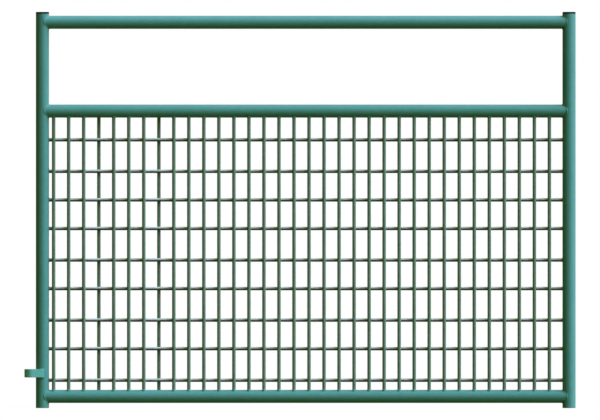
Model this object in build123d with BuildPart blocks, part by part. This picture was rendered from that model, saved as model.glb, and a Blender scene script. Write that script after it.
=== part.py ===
from build123d import *
import math
import os

# Livestock panel gate: a welded leaf of round steel tube with a rod mesh filling the lower part.
# Millimetres. The origin is the centre of the left upright's open lower end. +X runs along the
# gate to the right upright, +Z runs up the uprights, and the gate's front faces -Y.

os.makedirs("parts", exist_ok=True)

# Tube frame
TUBE_D = 44.45
TUBE_WALL = 1.65
UPRIGHT_SPACING = 1781.15
UPRIGHT_LENGTH = 1333.5
BOTTOM_RAIL_Z = 39.2
MIDDLE_RAIL_Z = 1004.3
TOP_RAIL_Z = 1304.6
TUBE_END_CHAMFER = 0.4
COPE_GAP = 0.2
COPE_TIP_TRIM = 7.0
CAP_SEAT_DEPTH = 26.0
CAP_SEAT_CUT = 0.25

# Push-in caps in the tops of the uprights
CAP_HEAD_H = 6.0
CAP_HEAD_FILLET = 0.7
CAP_SKIRT_H = 22.0
CAP_SKIRT_WALL = 2.2
CAP_SKIRT_GAP = 0.6
CAP_RIB_GAP = 0.05
CAP_RIB_H = 1.6
CAP_RIB_COUNT = 3
CAP_RIB_PITCH = 6.0
CAP_FLOOR = 2.4

# Rod mesh between the middle and bottom rails. The front rods touch the horizontal ones along
# a plane a little in front of the tubes' axes, so that all three layers lie within the tubes.
ROD_D = 12.0
MESH_PLANE_Y = -2.0
VERTICAL_ROD_COUNT = 34
VERTICAL_ROD_PITCH = 50.8
FIRST_VERTICAL_ROD_X = 38.1
REAR_VERTICAL_RODS = (4, 8)
LOWEST_HORIZONTAL_ROD_Z = 94.0
WIDE_GAP = 106.6
NARROW_GAP = 96.7
HORIZONTAL_ROD_GAPS = (
    WIDE_GAP,
    NARROW_GAP,
    WIDE_GAP,
    NARROW_GAP,
    WIDE_GAP,
    NARROW_GAP,
    NARROW_GAP,
    WIDE_GAP,
)

# Pin loop: a flat strap bent round in a U and welded to the left upright
LOOP_THICKNESS = 4.76
LOOP_HEIGHT = 28.0
LOOP_CENTRE_Z = 117.5
LOOP_BEND_X = -34.0
LOOP_ARM_END_X = 5.4
LOOP_EDGE_FILLET = 0.8

# Worked out from the sizes above
TUBE_R = TUBE_D / 2
BORE_R = TUBE_R - TUBE_WALL
CAP_SEAT_R = BORE_R + CAP_SEAT_CUT
ROD_R = ROD_D / 2
FRONT_LAYER_Y = MESH_PLANE_Y - ROD_R
MIDDLE_LAYER_Y = MESH_PLANE_Y + ROD_R
REAR_LAYER_Y = MESH_PLANE_Y + 3 * ROD_R


def save(piece, label):
    """Name a finished piece and write it to its own file."""
    piece.part.label = label
    export_step(piece.part, f"parts/{label}.step")


def tube_reach(layer_y):
    """How far from a tube's axis a flat-cut rod lying at a given depth first touches the tube."""
    nearest_y = max(0.0, abs(layer_y) - ROD_R)
    return math.sqrt(TUBE_R**2 - nearest_y**2)


# Uprights: tubes open at the foot, with the cut edges broken and the top reamed for the cap
for side, upright_x in (("left", 0.0), ("right", UPRIGHT_SPACING)):
    with BuildPart() as upright:
        with BuildSketch(Plane.XY) as upright_section:
            with Locations((upright_x, 0)):
                Circle(TUBE_R)
                Circle(BORE_R, mode=Mode.SUBTRACT)
        extrude(amount=UPRIGHT_LENGTH)
        with BuildSketch(Plane.XY.offset(UPRIGHT_LENGTH)) as seat_section:
            with Locations((upright_x, 0)):
                Circle(CAP_SEAT_R)
        extrude(amount=-CAP_SEAT_DEPTH, mode=Mode.SUBTRACT)
        outer_rims = upright.edges().filter_by(GeomType.CIRCLE).filter_by(lambda rim: rim.radius == TUBE_R)
        chamfer(outer_rims, TUBE_END_CHAMFER)
    save(upright, f"{side}_upright")

# Caps: a head flush with the tube, and a hollow ribbed skirt inside its bore
cap_skirt_r = CAP_SEAT_R - CAP_SKIRT_GAP
cap_rib_r = CAP_SEAT_R - CAP_RIB_GAP
for side, upright_x in (("left", 0.0), ("right", UPRIGHT_SPACING)):
    with BuildPart() as cap:
        with BuildSketch(Plane.XY.offset(UPRIGHT_LENGTH)) as head_section:
            with Locations((upright_x, 0)):
                Circle(TUBE_R)
        extrude(amount=CAP_HEAD_H)
        fillet(cap.edges().group_by(Axis.Z)[-1], CAP_HEAD_FILLET)
        with BuildSketch(Plane.XY.offset(UPRIGHT_LENGTH)) as skirt_section:
            with Locations((upright_x, 0)):
                Circle(cap_skirt_r)
        extrude(amount=-CAP_SKIRT_H)
        for rib in range(CAP_RIB_COUNT):
            rib_top = UPRIGHT_LENGTH - CAP_RIB_PITCH * (rib + 0.5)
            with Locations((upright_x, 0, rib_top - CAP_RIB_H / 2)):
                Cone(cap_skirt_r, cap_rib_r, CAP_RIB_H)
        with BuildSketch(Plane.XY.offset(UPRIGHT_LENGTH - CAP_SKIRT_H)) as hollow_section:
            with Locations((upright_x, 0)):
                Circle(cap_skirt_r - CAP_SKIRT_WALL)
        extrude(amount=CAP_SKIRT_H + CAP_HEAD_H - CAP_FLOOR, mode=Mode.SUBTRACT)
    save(cap, f"{side}_upright_cap")

# Rails: tubes with both ends coped to sit on the uprights, with a small gap for the weld. The
# cope would run out to a thin tip at the front and back, so the tips are cut off square.
for name, rail_z in (
    ("bottom_rail", BOTTOM_RAIL_Z),
    ("middle_rail", MIDDLE_RAIL_Z),
    ("top_rail", TOP_RAIL_Z),
):
    with BuildPart() as rail:
        with BuildSketch(Plane.YZ) as rail_section:
            with Locations((0, rail_z)):
                Circle(TUBE_R)
                Circle(BORE_R, mode=Mode.SUBTRACT)
        extrude(amount=UPRIGHT_SPACING)
        with Locations((0, 0, rail_z), (UPRIGHT_SPACING, 0, rail_z)):
            Cylinder(TUBE_R + COPE_GAP, 2 * TUBE_D, mode=Mode.SUBTRACT)
            Box(2 * COPE_TIP_TRIM, 2 * TUBE_D, 2 * TUBE_D, mode=Mode.SUBTRACT)
    save(rail, name)

# Vertical rods: most stand in front of the horizontal rods, and a few stand behind them
for number in range(1, VERTICAL_ROD_COUNT + 1):
    rod_x = FIRST_VERTICAL_ROD_X + (number - 1) * VERTICAL_ROD_PITCH
    if number in REAR_VERTICAL_RODS:
        layer_y = REAR_LAYER_Y
    else:
        layer_y = FRONT_LAYER_Y
    reach = tube_reach(layer_y)
    foot_z = BOTTOM_RAIL_Z + reach
    head_z = MIDDLE_RAIL_Z - reach
    with BuildPart() as vertical_rod:
        with BuildSketch(Plane.XY.offset(foot_z)) as vertical_section:
            with Locations((rod_x, layer_y)):
                Circle(ROD_R)
        extrude(amount=head_z - foot_z)
    save(vertical_rod, f"vertical_rod_{number:02d}")

# Horizontal rods: one flat layer, ending on the sides of the uprights. The gaps between them are
# listed from the bottom up: wide and narrow ones, which average close to twice the vertical pitch.
rod_start_x = tube_reach(MIDDLE_LAYER_Y)
for number in range(1, len(HORIZONTAL_ROD_GAPS) + 2):
    rod_z = LOWEST_HORIZONTAL_ROD_Z + sum(HORIZONTAL_ROD_GAPS[: number - 1])
    with BuildPart() as horizontal_rod:
        with BuildSketch(Plane.YZ.offset(rod_start_x)) as horizontal_section:
            with Locations((MIDDLE_LAYER_Y, rod_z)):
                Circle(ROD_R)
        extrude(amount=UPRIGHT_SPACING - 2 * rod_start_x)
    save(horizontal_rod, f"horizontal_rod_{number}")

# Pin loop: arms tangent to the front and back of the left upright, joined by a half-round bend
loop_outer_r = TUBE_R + LOOP_THICKNESS
with BuildPart() as pin_loop:
    with BuildSketch(Plane.XY.offset(LOOP_CENTRE_Z - LOOP_HEIGHT / 2)) as loop_section:
        with BuildLine() as loop_outline:
            Line((LOOP_ARM_END_X, -loop_outer_r), (LOOP_BEND_X, -loop_outer_r))
            CenterArc((LOOP_BEND_X, 0), loop_outer_r, 270, -180)
            Line((LOOP_BEND_X, loop_outer_r), (LOOP_ARM_END_X, loop_outer_r))
            Line((LOOP_ARM_END_X, loop_outer_r), (LOOP_ARM_END_X, TUBE_R))
            Line((LOOP_ARM_END_X, TUBE_R), (LOOP_BEND_X, TUBE_R))
            CenterArc((LOOP_BEND_X, 0), TUBE_R, 90, 180)
            Line((LOOP_BEND_X, -TUBE_R), (LOOP_ARM_END_X, -TUBE_R))
            Line((LOOP_ARM_END_X, -TUBE_R), (LOOP_ARM_END_X, -loop_outer_r))
        make_face()
    extrude(amount=LOOP_HEIGHT)
    fillet(pin_loop.edges(), LOOP_EDGE_FILLET)
save(pin_loop, "pin_loop")
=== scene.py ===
import math
import random

import bmesh
import bpy
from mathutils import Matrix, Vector


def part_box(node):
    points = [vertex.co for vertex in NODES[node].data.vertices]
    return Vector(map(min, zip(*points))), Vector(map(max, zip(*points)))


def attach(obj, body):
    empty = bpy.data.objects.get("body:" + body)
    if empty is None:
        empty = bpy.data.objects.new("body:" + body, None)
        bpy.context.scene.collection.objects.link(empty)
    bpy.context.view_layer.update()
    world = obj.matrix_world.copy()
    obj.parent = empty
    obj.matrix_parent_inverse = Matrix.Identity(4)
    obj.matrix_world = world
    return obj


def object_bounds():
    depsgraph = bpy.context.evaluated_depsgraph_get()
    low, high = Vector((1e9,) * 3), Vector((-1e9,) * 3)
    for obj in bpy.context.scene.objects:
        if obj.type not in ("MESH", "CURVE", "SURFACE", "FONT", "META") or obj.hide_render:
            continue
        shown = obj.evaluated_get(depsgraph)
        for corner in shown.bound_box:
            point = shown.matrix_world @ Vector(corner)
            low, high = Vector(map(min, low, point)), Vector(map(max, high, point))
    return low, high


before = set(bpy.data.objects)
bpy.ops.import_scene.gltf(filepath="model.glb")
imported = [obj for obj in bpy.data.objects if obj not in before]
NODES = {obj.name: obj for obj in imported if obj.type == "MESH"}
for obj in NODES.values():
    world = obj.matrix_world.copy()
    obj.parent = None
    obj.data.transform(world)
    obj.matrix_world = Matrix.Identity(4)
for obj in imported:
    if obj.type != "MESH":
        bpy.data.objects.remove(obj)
cad_low, cad_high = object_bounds()

# Livestock panel gate. Metres, in the row frame: x runs along the gate, z up, and the front faces -y.

RNG = random.Random(7)

# ---------------------------------------------------------------- sizes read from the frame
VERTICAL_RODS = sorted(name for name in NODES if name.startswith("vertical_rod"))
HORIZONTAL_RODS = sorted(name for name in NODES if name.startswith("horizontal_rod"))
UPRIGHTS = ["left_upright", "right_upright"]
RAILS = ["bottom_rail", "middle_rail", "top_rail"]
CAPS = ["left_upright_cap", "right_upright_cap"]


def middle(name):
    """Centre of a CAD node's box."""
    low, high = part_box(name)
    return (low + high) / 2


def across(name, axis):
    """A CAD node's size along one axis: 0, 1 or 2."""
    low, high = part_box(name)
    return high[axis] - low[axis]


TUBE_R = across("left_upright", 0) / 2
ROD_R = across(VERTICAL_RODS[0], 0) / 2
UPRIGHT_X = {name: middle(name).x for name in UPRIGHTS}
RAIL_Z = {name: middle(name).z for name in RAILS}
RAIL_TIP_X = {
    "left_upright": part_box("top_rail")[0].x - UPRIGHT_X["left_upright"],
    "right_upright": UPRIGHT_X["right_upright"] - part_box("top_rail")[1].x,
}
LOOP_LOW, LOOP_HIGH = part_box("pin_loop")

# ---------------------------------------------------------------- weld sizes
# The beads round the rails' ends and the pin loop's arms. SADDLE_LENGTH is in tube radii and
# RIPPLE_DEPTH is a share of the bead's height. A higher TIP_BLEND turns the seam more sharply
# where it passes from the saddle to a rail's trimmed tip.
BEAD_STEP = 0.00042
BEAD_SIDES = 14
BEAD_UNEVENNESS = 0.012
BEAD_END_SHARE = 0.04
RAIL_BEAD_WIDTH = 0.0025
RAIL_BEAD_HEIGHT = 0.0013
LOOP_BEAD_WIDTH = 0.0022
LOOP_BEAD_HEIGHT = 0.0019
LOOP_BEAD_REACH = 0.0125
LOOP_BEAD_CORNER = 0.003
CORNER_STEPS = 8
SADDLE_LENGTH = 7.3
TIP_BLEND = 6.0
RIPPLE_PITCH = 0.0021
RIPPLE_DEPTH = 0.34
RIPPLE_BOW = 0.0016

# The collars at the rods' ends. Each row of the outline is how far it stands out from the rod, how
# far above the tube, and what share of the way it has climbed from the tube up on to the rod. The
# first row is sunk into the tube, and the last one into the rod.
# COLLAR_WAVES are the numbers of bulges round a collar that make it uneven.
COLLAR_SIDES = 28
COLLAR_WIDTH = 0.0012
COLLAR_HEIGHT = 0.0016
COLLAR_WOBBLE = 0.1
COLLAR_WAVES = (2, 3, 4)
COLLAR_OUTLINE = (
    (COLLAR_WIDTH, -0.0006, 0.0),
    (COLLAR_WIDTH, 0.0003, 0.0),
    (COLLAR_WIDTH * 0.72, 0.0009, 0.22),
    (COLLAR_WIDTH * 0.38, 0.0006, 0.62),
    (COLLAR_WIDTH * 0.1, 0.0, 1.0),
    (-0.0008, 0.0, 1.04),
)
FLANK_LIMIT = 0.955 * TUBE_R

# The spot welds where rods cross. Each ring is its share of the weld's radius, whether it is the
# bulging one, and which rod it lies on: -1 the front one, 1 the back one, 0 halfway between. The
# rings on the rods are sunk into them by SPOT_SINK.
SPOT_SIDES = 16
SPOT_R = 0.0051
SPOT_SIZE_RANGE = (0.9, 1.08)
SPOT_BULGE = 0.0004
SPOT_SINK = 0.00015
SPOT_RINGS = ((0.55, 0, -1), (1.0, 0, -1), (1.0, 1, 0), (1.0, 0, 1), (0.55, 0, 1))

# ---------------------------------------------------------------- paint, floor, light and camera
ENAMEL_ROUGHNESS_LOW = 0.35
ENAMEL_ROUGHNESS_HIGH = 0.47
ENAMEL_COAT = 0.15
ENAMEL_COAT_ROUGHNESS = 0.3
ENAMEL_PEEL_DEPTH = 0.00035
ROD_PEEL_DEPTH = 0.0004
ROD_LINE_STRETCH = 0.02
CAP_DARK = (0.0012, 0.0022, 0.0018)
CAP_PALE = (0.004, 0.006, 0.005)
CAP_GRAIN_DEPTH = 0.00004
PAINT_SPECULAR = 0.35
CAP_SPECULAR = 0.08

FLOOR_HALF = 9.0
FLOOR_GREY = 0.9
FLOOR_FADE_FROM = 1.6
FLOOR_FADE_TO = 4.5
FLOOR_LEAST_WHITE = 0.95

# The surround's three colours run from its dark side to its bright one. SURROUND_MIDDLE is how
# far along that way the second one stands.
SURROUND_BRIGHT_SIDE = Vector((0.7, 0.0, 0.72))
SURROUND_DARK_LIMIT = -0.75
SURROUND_MIDDLE = 0.7
SURROUND_STRENGTH = 1.2
SURROUND_COLOURS = ((0.032, 0.022, 0.032), (0.3, 0.355, 0.045), (0.72, 0.4, 0.45))

KEY_ENERGY = 4.4
KEY_COLOUR = (0.74, 1.02, 1.44)
KEY_BREADTH = math.radians(50.0)
KEY_SIDE = Vector((0.66, -0.2, 0.73))

# The view is PICTURE_WIDTH metres across at the gate.
PICTURE_WIDTH = 2.0295
CAMERA_SENSOR_MM = 36.0
CAMERA_LENS_MM = 600.0


# ---------------------------------------------------------------- mesh helpers
def make_piece(name, verts, faces, material):
    """A mesh object in the row frame that rides on the gate's one body."""
    mesh = bpy.data.meshes.new(name)
    mesh.from_pydata([tuple(v) for v in verts], [], faces)
    tidy = bmesh.new()
    tidy.from_mesh(mesh)
    bmesh.ops.recalc_face_normals(tidy, faces=tidy.faces)
    tidy.to_mesh(mesh)
    tidy.free()
    for polygon in mesh.polygons:
        polygon.use_smooth = True
    mesh.materials.append(material)
    piece = bpy.data.objects.new(name, mesh)
    bpy.context.scene.collection.objects.link(piece)
    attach(piece, "root")


class Builder:
    """Gathers the vertices and faces of several closed forms for one piece."""

    def __init__(self):
        self.verts = []
        self.faces = []

    def loft(self, rings, closed=False):
        """Skins a run of equal rings of points. A closed run joins its last ring to its first."""
        first = len(self.verts)
        count = len(rings[0])
        for ring in rings:
            self.verts.extend(ring)
        spans = len(rings) if closed else len(rings) - 1
        for i in range(spans):
            a = first + i * count
            b = first + ((i + 1) % len(rings)) * count
            for j in range(count):
                k = (j + 1) % count
                self.faces.append((a + j, a + k, b + k, b + j))
        if not closed:
            self.faces.append(tuple(first + j for j in reversed(range(count))))
            last = first + (len(rings) - 1) * count
            self.faces.append(tuple(last + j for j in range(count)))

    def bead(self, points, outward, width, height, closed=False):
        """A weld bead with fish-scale ripples, laid along points that are about BEAD_STEP apart."""
        count = len(points)
        ripples = max(1, round(count * BEAD_STEP / RIPPLE_PITCH))
        pitch = count * BEAD_STEP / ripples
        rings = []
        for i in range(count):
            if closed:
                ahead, behind = points[(i + 1) % count], points[i - 1]
                taper = 1.0
            else:
                ahead, behind = points[min(i + 1, count - 1)], points[max(i - 1, 0)]
                from_end = min(i, count - 1 - i) * BEAD_STEP
                taper = math.sqrt(min(1.0, BEAD_END_SHARE + from_end / width))
            along = (ahead - behind).normalized()
            side = along.cross(outward[i]).normalized()
            up = side.cross(along)
            swell = 1.0 + RNG.uniform(-BEAD_UNEVENNESS, BEAD_UNEVENNESS)
            ring = []
            for j in range(BEAD_SIDES):
                angle = 2 * math.pi * j / BEAD_SIDES
                phase = (i * BEAD_STEP + RIPPLE_BOW * math.cos(angle) ** 2) / pitch
                scale = 1.0 + RIPPLE_DEPTH * (1.0 - 2.0 * (phase % 1.0)) * max(0.0, math.sin(angle))
                across_bead = side * (math.cos(angle) * width)
                above_bead = up * (math.sin(angle) * height * scale)
                ring.append(points[i] + (across_bead + above_bead) * (taper * swell))
            rings.append(ring)
        self.loft(rings, closed)


# ---------------------------------------------------------------- materials
def new_material(name):
    """A material with an empty node tree."""
    material = bpy.data.materials.new(name)
    material.use_nodes = True
    material.node_tree.nodes.clear()
    return material


class Nodes:
    """Short ways to add and link shader nodes."""

    def __init__(self, tree):
        self.tree = tree
        self.coords = self.add("ShaderNodeTexCoord").outputs["Object"]

    def add(self, kind, **settings):
        node = self.tree.nodes.new(kind)
        for key, value in settings.items():
            setattr(node, key, value)
        return node

    def link(self, source, target):
        self.tree.links.new(source, target)

    def shader(self):
        """A principled shader joined to the material's output."""
        shader = self.add("ShaderNodeBsdfPrincipled")
        output = self.add("ShaderNodeOutputMaterial")
        self.link(shader.outputs["BSDF"], output.inputs["Surface"])
        return shader

    def noise(self, scale, detail, roughness=0.55, stretch=(1.0, 1.0, 1.0)):
        """Fractal noise, scale features to the metre. A smaller stretch draws them out longer."""
        mapping = self.add("ShaderNodeMapping")
        mapping.inputs["Scale"].default_value = stretch
        self.link(self.coords, mapping.inputs["Vector"])
        texture = self.add("ShaderNodeTexNoise")
        texture.inputs["Scale"].default_value = scale
        texture.inputs["Detail"].default_value = detail
        texture.inputs["Roughness"].default_value = roughness
        self.link(mapping.outputs["Vector"], texture.inputs["Vector"])
        return texture.outputs["Fac"]

    def fit(self, value, low, high, to_low=0.0, to_high=1.0):
        """Maps low to to_low and high to to_high, and holds the value between them."""
        node = self.add("ShaderNodeMapRange")
        node.inputs["From Min"].default_value = low
        node.inputs["From Max"].default_value = high
        node.inputs["To Min"].default_value = to_low
        node.inputs["To Max"].default_value = to_high
        self.link(value, node.inputs["Value"])
        return node.outputs["Result"]

    def blend(self, factor, first, second):
        """Colour blend. first and second are colours or sockets."""
        node = self.add("ShaderNodeMix", data_type="RGBA")
        self.link(factor, node.inputs[0])
        for socket, value in ((node.inputs[6], first), (node.inputs[7], second)):
            if isinstance(value, tuple):
                socket.default_value = (*value, 1.0)
            else:
                self.link(value, socket)
        return node.outputs[2]

    def dots(self, scale, size):
        """Scattered round nibs, 1 at a nib's middle and 0 between them."""
        texture = self.add("ShaderNodeTexVoronoi")
        texture.inputs["Scale"].default_value = scale
        self.link(self.coords, texture.inputs["Vector"])
        return self.fit(texture.outputs["Distance"], size, 0.0)

    def sum(self, first, second, weight):
        """The first value plus the second one times a weight."""
        node = self.add("ShaderNodeMath", operation="MULTIPLY_ADD")
        self.link(second, node.inputs[0])
        node.inputs[1].default_value = weight
        self.link(first, node.inputs[2])
        return node.outputs[0]

    def bump(self, height, distance):
        """Surface relief: height from 0 to 1 stands distance metres proud."""
        node = self.add("ShaderNodeBump")
        node.inputs["Distance"].default_value = distance
        self.link(height, node.inputs["Height"])
        return node.outputs["Normal"]


def enamel(name, colour, deep, pale):
    """Satin enamel: a little cloudy in colour, orange-peeled, with dust nibs and dull scuffs."""
    material = new_material(name)
    nodes = Nodes(material.node_tree)
    shader = nodes.shader()

    clouds = nodes.noise(scale=4.0, detail=4.0)
    mottle = nodes.noise(scale=55.0, detail=3.0)
    grain = nodes.noise(scale=620.0, detail=2.0)
    peel = nodes.noise(scale=330.0, detail=2.0)
    streaks = nodes.noise(scale=38.0, detail=5.0, roughness=0.7, stretch=(1.0, 1.0, 0.35))
    scuffs = nodes.fit(streaks, 0.64, 0.72)
    colour_now = nodes.blend(nodes.fit(clouds, 0.35, 0.65), deep, colour)
    colour_now = nodes.blend(nodes.fit(mottle, 0.45, 0.8, to_high=0.45), colour_now, pale)
    colour_now = nodes.blend(nodes.fit(scuffs, 0.0, 1.0, to_high=0.3), colour_now, pale)
    nodes.link(colour_now, shader.inputs["Base Color"])

    dullness = nodes.fit(mottle, 0.3, 0.7, ENAMEL_ROUGHNESS_LOW, ENAMEL_ROUGHNESS_HIGH)
    nodes.link(nodes.sum(dullness, scuffs, weight=0.15), shader.inputs["Roughness"])
    shader.inputs["Specular IOR Level"].default_value = PAINT_SPECULAR
    shader.inputs["Coat Weight"].default_value = ENAMEL_COAT
    shader.inputs["Coat Roughness"].default_value = ENAMEL_COAT_ROUGHNESS

    height = nodes.sum(peel, grain, weight=0.3)
    height = nodes.sum(height, nodes.dots(scale=55.0, size=0.035), weight=0.5)
    nodes.link(nodes.bump(height, ENAMEL_PEEL_DEPTH), shader.inputs["Normal"])
    return material


def rod_paint(name, colour, deep, pale, along, painted_shade_underside=None):
    """Thin enamel over drawn rod: faint die lines along it, orange peel, nibs and cloudy patches.

    The die lines run along the axis numbered by along. With a colour for the underside, the paint keeps
    its pale colour on top and takes that colour below, by which way the surface faces: a painted
    highlight on top and painted shade underneath.
    """
    material = new_material(name)
    nodes = Nodes(material.node_tree)
    shader = nodes.shader()

    stretch = tuple(ROD_LINE_STRETCH if axis == along else 1.0 for axis in range(3))
    lines = nodes.noise(scale=900.0, detail=3.0, roughness=0.6, stretch=stretch)
    clouds = nodes.noise(scale=14.0, detail=4.0)
    specks = nodes.noise(scale=260.0, detail=2.0)
    peel = nodes.noise(scale=420.0, detail=3.0)
    colour_now = nodes.blend(nodes.fit(clouds, 0.35, 0.65), deep, colour)
    colour_now = nodes.blend(nodes.fit(lines, 0.45, 0.75, to_high=0.5), colour_now, pale)
    # Painted light: pale on the upward faces and the painted-shade colour on the downward ones, by the
    # surface normal's height.
    if painted_shade_underside:
        facing = nodes.add("ShaderNodeSeparateXYZ")
        nodes.link(nodes.add("ShaderNodeNewGeometry").outputs["Normal"], facing.inputs[0])
        painted_light_mask = nodes.sum(facing.outputs["Z"], nodes.noise(scale=110.0, detail=4.0), weight=0.35)
        colour_now = nodes.blend(nodes.fit(painted_light_mask, 0.0, 0.6), painted_shade_underside, colour_now)
    nodes.link(colour_now, shader.inputs["Base Color"])
    nodes.link(nodes.fit(specks, 0.3, 0.7, to_low=0.44, to_high=0.58), shader.inputs["Roughness"])
    shader.inputs["Specular IOR Level"].default_value = PAINT_SPECULAR

    height = nodes.sum(peel, lines, weight=0.35)
    height = nodes.sum(height, nodes.dots(scale=75.0, size=0.05), weight=0.6)
    nodes.link(nodes.bump(height, ROD_PEEL_DEPTH), shader.inputs["Normal"])
    return material


def cap_plastic(name):
    """Black moulded plastic with a fine spark-eroded grain."""
    material = new_material(name)
    nodes = Nodes(material.node_tree)
    shader = nodes.shader()

    haze = nodes.noise(scale=90.0, detail=3.0)
    grain = nodes.noise(scale=1600.0, detail=2.0)
    nodes.link(nodes.blend(nodes.fit(haze, 0.35, 0.75), CAP_DARK, CAP_PALE), shader.inputs["Base Color"])
    nodes.link(nodes.fit(haze, 0.3, 0.7, to_low=0.55, to_high=0.68), shader.inputs["Roughness"])
    shader.inputs["Specular IOR Level"].default_value = CAP_SPECULAR
    nodes.link(nodes.bump(grain, CAP_GRAIN_DEPTH), shader.inputs["Normal"])
    return material


frame_paint = enamel(
    "frame_paint",
    colour=(0.09, 0.31, 0.285),
    deep=(0.078, 0.29, 0.265),
    pale=(0.115, 0.345, 0.32),
)
# The pin loop's enamel is the frame's made much paler: a painted highlight on the strap's flat faces.
loop_paint = enamel(
    "loop_paint",
    colour=(0.2, 0.66, 0.66),
    deep=(0.18, 0.63, 0.63),
    pale=(0.24, 0.7, 0.7),
)
vertical_paint = rod_paint(
    "vertical_rod_paint",
    colour=(0.15, 0.24, 0.165),
    deep=(0.12, 0.21, 0.14),
    pale=(0.19, 0.28, 0.21),
    along=2,
)
# Pale cross-rod enamel: its paleness is a painted highlight along the tops, and its dark underside
# colour is painted shade.
horizontal_paint_painted_light = rod_paint(
    "horizontal_rod_paint",
    colour=(0.6, 0.66, 0.64),
    deep=(0.54, 0.6, 0.57),
    pale=(0.68, 0.73, 0.71),
    along=0,
    painted_shade_underside=(0.09, 0.12, 0.14),
)
cap_black = cap_plastic("cap_plastic")


def dress(names, material):
    """Gives carried-over CAD nodes a material."""
    for name in names:
        node = NODES[name]
        node.data.materials.clear()
        node.data.materials.append(material)


dress(UPRIGHTS + RAILS, frame_paint)
dress(["pin_loop"], loop_paint)
dress(VERTICAL_RODS, vertical_paint)
dress(HORIZONTAL_RODS, horizontal_paint_painted_light)
dress(CAPS, cap_black)


# ---------------------------------------------------------------- weld metal
def weld_rail(upright, rail):
    """The bead round a rail's coped end, along the saddle where it meets the upright."""
    inward = 1.0 if upright == "left_upright" else -1.0
    tip = RAIL_TIP_X[upright] / TUBE_R
    steps = round(SADDLE_LENGTH * TUBE_R / BEAD_STEP)
    points = []
    outward = []
    for i in range(steps):
        turn = 2 * math.pi * i / steps
        lean = (abs(math.cos(turn)) ** TIP_BLEND + tip**TIP_BLEND) ** (1 / TIP_BLEND)
        from_rail = Vector((0.0, math.sin(turn), math.cos(turn)))
        from_upright = Vector((inward * lean, math.sin(turn), 0.0))
        foot = Vector((UPRIGHT_X[upright], 0.0, RAIL_Z[rail]))
        points.append(foot + Vector((inward * lean, math.sin(turn), math.cos(turn))) * TUBE_R)
        outward.append((from_rail + from_upright).normalized())
    builder = Builder()
    builder.bead(points, outward, RAIL_BEAD_WIDTH, RAIL_BEAD_HEIGHT, closed=True)
    name = f"{upright}_{rail}_weld"
    make_piece(name, builder.verts, builder.faces, frame_paint)


def corner_path(corners, radius):
    """Evenly spaced points along a flat polyline whose corners are rounded."""
    raw = [corners[0]]
    for before, corner, after in zip(corners, corners[1:], corners[2:]):
        start = corner + (before - corner).normalized() * radius
        end = corner + (after - corner).normalized() * radius
        for k in range(CORNER_STEPS + 1):
            t = k / CORNER_STEPS
            raw.append(start * (1 - t) ** 2 + corner * (2 * t * (1 - t)) + end * t**2)
    raw.append(corners[-1])
    points = [raw[0]]
    for target in raw[1:]:
        while (target - points[-1]).length > BEAD_STEP:
            points.append(points[-1] + (target - points[-1]).normalized() * BEAD_STEP)
    return points


def weld_loop():
    """A bead round the end of each of the pin loop's arms, where it lies on the upright."""
    builder = Builder()
    end_x = LOOP_HIGH.x
    for facing in (-1.0, 1.0):
        y = facing * TUBE_R
        corners = [
            Vector((end_x - LOOP_BEAD_REACH, y, LOOP_HIGH.z)),
            Vector((end_x, y, LOOP_HIGH.z)),
            Vector((end_x, y, LOOP_LOW.z)),
            Vector((end_x - LOOP_BEAD_REACH, y, LOOP_LOW.z)),
        ]
        points = corner_path(corners, LOOP_BEAD_CORNER)
        outward = [Vector((0.0, facing, 0.0))] * len(points)
        builder.bead(points, outward, LOOP_BEAD_WIDTH, LOOP_BEAD_HEIGHT)
    make_piece("pin_loop_welds", builder.verts, builder.faces, frame_paint)


def tube_drop(offset):
    """How far a tube's surface stands from its axis at an offset, which stops short of its edge."""
    held = min(abs(offset), FLANK_LIMIT)
    return math.sqrt(TUBE_R**2 - held**2)


def add_collar(builder, centre, away, sideways, rod_y):
    """Weld metal round a rod's end on a tube, from the tube's curved face up on to the rod.

    centre is on the tube's axis, away points along the rod out of the tube, and sideways
    along the tube. The rod's own axis stands rod_y from the tube's, front to back.
    """
    depth = Vector((0.0, 1.0, 0.0))
    rod_end = tube_drop(max(0.0, abs(rod_y) - ROD_R))
    wobble = {waves: RNG.uniform(-COLLAR_WOBBLE, COLLAR_WOBBLE) for waves in COLLAR_WAVES}
    start = RNG.uniform(0.0, 2 * math.pi)
    rings = []
    for width, lift, climb in COLLAR_OUTLINE:
        ring = []
        for j in range(COLLAR_SIDES):
            angle = 2 * math.pi * j / COLLAR_SIDES
            uneven = 1.0 + sum(size * math.sin(waves * angle + start) for waves, size in wobble.items())
            radius = ROD_R + width * uneven
            y = rod_y + radius * math.sin(angle)
            on_tube = tube_drop(y) + lift
            on_rod = rod_end + COLLAR_HEIGHT * uneven
            reach = on_tube + (on_rod - on_tube) * climb
            ring.append(centre + sideways * (radius * math.cos(angle)) + depth * y + away * reach)
        rings.append(ring)
    builder.loft(rings)


def weld_rod_ends():
    """Collars where the rods meet the middle and bottom rails and both uprights."""
    along_x = Vector((1.0, 0.0, 0.0))
    along_z = Vector((0.0, 0.0, 1.0))
    for rail, away in (("bottom_rail", along_z), ("middle_rail", -along_z)):
        builder = Builder()
        for rod in VERTICAL_RODS:
            centre = Vector((middle(rod).x, 0.0, RAIL_Z[rail]))
            add_collar(builder, centre, away, along_x, middle(rod).y)
        make_piece(f"{rail}_rod_welds", builder.verts, builder.faces, frame_paint)
    for upright, away in (("left_upright", along_x), ("right_upright", -along_x)):
        builder = Builder()
        for rod in HORIZONTAL_RODS:
            centre = Vector((UPRIGHT_X[upright], 0.0, middle(rod).z))
            add_collar(builder, centre, away, along_z, middle(rod).y)
        make_piece(f"{upright}_rod_welds", builder.verts, builder.faces, frame_paint)


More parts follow.
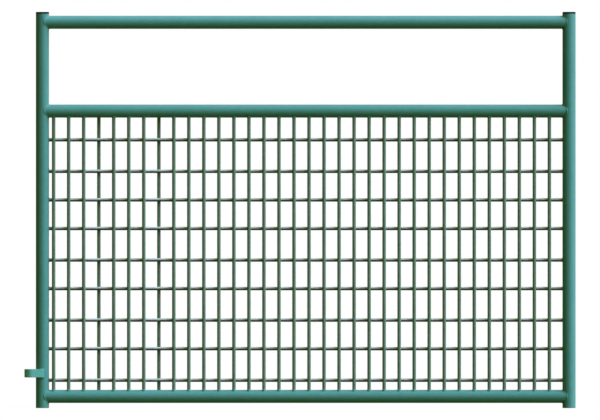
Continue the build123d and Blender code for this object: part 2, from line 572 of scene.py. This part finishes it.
def add_spot(builder, centre, vertical_in_front):
    """The squeezed-out rim of a resistance weld, filling the wedge between two crossing rods."""
    size = SPOT_R * RNG.uniform(*SPOT_SIZE_RANGE)
    rings = []
    for share, bulge, side in SPOT_RINGS:
        ring = []
        for j in range(SPOT_SIDES):
            angle = 2 * math.pi * j / SPOT_SIDES
            radius = size * share + SPOT_BULGE * bulge
            x = radius * math.cos(angle)
            z = radius * math.sin(angle)
            across_front = x if vertical_in_front else z
            across_back = z if vertical_in_front else x
            front = -(ROD_R - math.sqrt(ROD_R**2 - across_front**2)) - SPOT_SINK
            back = ROD_R - math.sqrt(ROD_R**2 - across_back**2) + SPOT_SINK
            y = {-1: front, 0: (front + back) / 2, 1: back}[side]
            ring.append(centre + Vector((x, y, z)))
        rings.append(ring)
    builder.loft(rings)


def weld_crossings():
    """One piece for each horizontal rod: its spot welds to all the vertical rods."""
    for number, horizontal_rod in enumerate(HORIZONTAL_RODS, start=1):
        builder = Builder()
        horizontal = middle(horizontal_rod)
        for vertical_rod in VERTICAL_RODS:
            vertical = middle(vertical_rod)
            centre = Vector((vertical.x, (vertical.y + horizontal.y) / 2, horizontal.z))
            add_spot(builder, centre, vertical.y < horizontal.y)
        name = f"crossing_welds_{number}"
        make_piece(name, builder.verts, builder.faces, vertical_paint)


for upright_name in UPRIGHTS:
    for rail_name in RAILS:
        weld_rail(upright_name, rail_name)
weld_loop()
weld_rod_ends()
weld_crossings()


# ---------------------------------------------------------------- floor, light and camera
def make_floor():
    """A pale floor that fades to the white surround well away from the gate."""
    mesh = bpy.data.meshes.new("floor")
    centre_x = (cad_low.x + cad_high.x) / 2
    corners = [
        (-FLOOR_HALF, -FLOOR_HALF),
        (FLOOR_HALF, -FLOOR_HALF),
        (FLOOR_HALF, FLOOR_HALF),
        (-FLOOR_HALF, FLOOR_HALF),
    ]
    mesh.from_pydata([(centre_x + x, y, 0.0) for x, y in corners], [], [(0, 1, 2, 3)])
    floor = bpy.data.objects.new("floor", mesh)
    bpy.context.scene.collection.objects.link(floor)
    material = new_material("floor_paint")
    nodes = Nodes(material.node_tree)
    output = nodes.add("ShaderNodeOutputMaterial")
    matt = nodes.add("ShaderNodeBsdfDiffuse")
    matt.inputs["Color"].default_value = (FLOOR_GREY, FLOOR_GREY, FLOOR_GREY, 1.0)
    white = nodes.add("ShaderNodeEmission")
    white.inputs["Color"].default_value = (1.0, 1.0, 1.0, 1.0)
    offset = nodes.add("ShaderNodeVectorMath", operation="DISTANCE")
    nodes.link(nodes.coords, offset.inputs[0])
    offset.inputs[1].default_value = (centre_x, 0.0, 0.0)
    fade = nodes.fit(offset.outputs["Value"], FLOOR_FADE_FROM, FLOOR_FADE_TO, FLOOR_LEAST_WHITE, 1.0)
    mix = nodes.add("ShaderNodeMixShader")
    nodes.link(fade, mix.inputs["Fac"])
    nodes.link(matt.outputs["BSDF"], mix.inputs[1])
    nodes.link(white.outputs["Emission"], mix.inputs[2])
    nodes.link(mix.outputs["Shader"], output.inputs["Surface"])
    mesh.materials.append(material)
    floor.visible_diffuse = False
    floor.visible_glossy = False


def make_world():
    """Soft surround: bright at the upper right, nearly dark at the lower left, white to the camera."""
    world = bpy.data.worlds.new("studio")
    bpy.context.scene.world = world
    world.use_nodes = True
    world.node_tree.nodes.clear()
    nodes = Nodes(world.node_tree)
    direction = nodes.coords.node.outputs["Generated"]
    toward_light = nodes.add("ShaderNodeVectorMath", operation="DOT_PRODUCT")
    nodes.link(direction, toward_light.inputs[0])
    toward_light.inputs[1].default_value = SURROUND_BRIGHT_SIDE.normalized()
    amount = nodes.fit(toward_light.outputs["Value"], SURROUND_DARK_LIMIT, 1.0)
    ramp = nodes.add("ShaderNodeValToRGB")
    nodes.link(amount, ramp.inputs["Fac"])
    stops = ramp.color_ramp.elements
    stops.new(SURROUND_MIDDLE)
    for stop, colour in zip(stops, SURROUND_COLOURS):
        stop.color = (*colour, 1.0)
    soft = nodes.add("ShaderNodeBackground")
    nodes.link(ramp.outputs["Color"], soft.inputs["Color"])
    soft.inputs["Strength"].default_value = SURROUND_STRENGTH
    white = nodes.add("ShaderNodeBackground")
    white.inputs["Color"].default_value = (1.0, 1.0, 1.0, 1.0)
    mix = nodes.add("ShaderNodeMixShader")
    nodes.link(nodes.add("ShaderNodeLightPath").outputs["Is Camera Ray"], mix.inputs["Fac"])
    nodes.link(soft.outputs["Background"], mix.inputs[1])
    nodes.link(white.outputs["Background"], mix.inputs[2])
    output = nodes.add("ShaderNodeOutputWorld")
    nodes.link(mix.outputs["Shader"], output.inputs["Surface"])


def make_key():
    """One soft key light from the upper right, a little in front."""
    light = bpy.data.lights.new("key", "SUN")
    light.energy = KEY_ENERGY
    light.color = KEY_COLOUR
    light.angle = KEY_BREADTH
    key = bpy.data.objects.new("key", light)
    bpy.context.scene.collection.objects.link(key)
    key.rotation_mode = "QUATERNION"
    key.rotation_quaternion = KEY_SIDE.to_track_quat("Z", "Y")


def make_camera():
    """Square on to the gate's front, from far off, with the whole leaf in the picture."""
    camera_data = bpy.data.cameras.new("camera")
    camera_data.sensor_width = CAMERA_SENSOR_MM
    camera_data.lens = CAMERA_LENS_MM
    distance = PICTURE_WIDTH * CAMERA_LENS_MM / CAMERA_SENSOR_MM
    camera_data.clip_end = 2.0 * distance
    camera = bpy.data.objects.new("camera", camera_data)
    bpy.context.scene.collection.objects.link(camera)
    aim = (cad_low + cad_high) / 2
    camera.location = (aim.x, aim.y - distance, aim.z)
    camera.rotation_euler = (math.pi / 2, 0.0, 0.0)
    bpy.context.scene.camera = camera


make_floor()
make_world()
make_key()
make_camera()
bpy.context.scene.view_settings.view_transform = "Standard"
